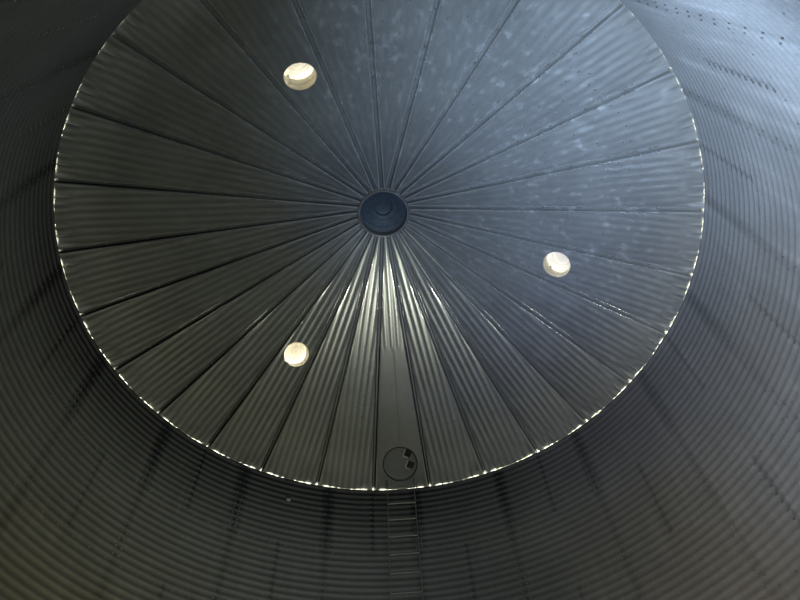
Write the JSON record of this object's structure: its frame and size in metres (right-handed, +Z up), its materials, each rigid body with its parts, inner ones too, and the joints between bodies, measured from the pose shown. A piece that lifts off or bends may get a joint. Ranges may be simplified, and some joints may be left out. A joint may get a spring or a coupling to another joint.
{
  "type": "grain silo",
  "caption": "Round corrugated steel grain silo with a ribbed cone roof, vents, a hinged roof hatch, ladders inside and out, and a walk-in door.",
  "frame": {"origin": "on the silo's axis at ground level", "axes": "+Z up; +Y from the axis towards the roof hatch and the two ladders, the door being nearly opposite; +X to the right when facing +Y"},
  "size_m": [8.4548, 8.5317, 10.2822],
  "materials": {
    "wall_sheet": "weathered galvanised, spangled, matt",
    "roof_sheet": "galvanised, soft sheen",
    "framing": "galvanised, satin",
    "ladder": "galvanised, satin",
    "vent": "galvanised, warm and dull",
    "cap": "galvanised, dull",
    "hatch": "galvanised, dull",
    "door": "galvanised, satin",
    "switch": "dull grey paint"
  },
  "bodies": {
    "shell": {"wall_bay_1": "wall_sheet", "wall_bay_2": "wall_sheet", "wall_bay_3": "wall_sheet", "wall_bay_4": "wall_sheet", "wall_bay_5": "wall_sheet", "wall_bay_6": "wall_sheet", "wall_bay_7": "wall_sheet", "wall_bay_8": "wall_sheet", "wall_bay_9": "wall_sheet", "wall_left_of_door": "wall_sheet", "wall_right_of_door": "wall_sheet", "wall_under_door": "wall_sheet", "stiffener_1": "framing", "stiffener_2": "framing", "stiffener_3": "framing", "stiffener_4": "framing", "stiffener_5": "framing", "stiffener_6": "framing", "stiffener_7": "framing", "stiffener_8": "framing", "stiffener_9": "framing", "stiffener_10": "framing", "stiffener_11": "framing", "stiffener_12": "framing", "stiffener_13": "framing", "stiffener_14": "framing", "stiffener_15": "framing", "stiffener_16": "framing", "stiffener_17": "framing", "stiffener_18": "framing", "roof_sector_1": "roof_sheet", "roof_sector_2": "roof_sheet", "roof_sector_3": "roof_sheet", "roof_sector_4": "roof_sheet", "roof_sector_5": "roof_sheet", "roof_sector_6": "roof_sheet", "roof_sector_7": "roof_sheet", "roof_sector_8": "roof_sheet", "roof_sector_9": "roof_sheet", "peak_ring_1": "framing", "peak_ring_2": "framing", "peak_ring_3": "framing", "peak_ring_4": "framing", "peak_cap": "cap", "fill_lid": "cap", "vent_neck_1": "vent", "vent_hood_1": "vent", "vent_neck_2": "vent", "vent_hood_2": "vent", "vent_neck_3": "vent", "vent_hood_3": "vent", "hatch_curb": "hatch", "inside_ladder": "ladder", "outside_ladder": "ladder", "door_frame": "door", "door_leaf": "door", "level_switch": "switch"},
    "hatch_lid": {"hatch_lid": "hatch"}
  },
  "joints": [
    {"name": "hatch_hinge", "type": "hinge", "parent": "shell", "child": "hatch_lid", "pos_m": [0.34, 3.78, 8.10385], "axis": [0, 0.866, -0.5], "range_deg": [0, 110]}
  ]
}
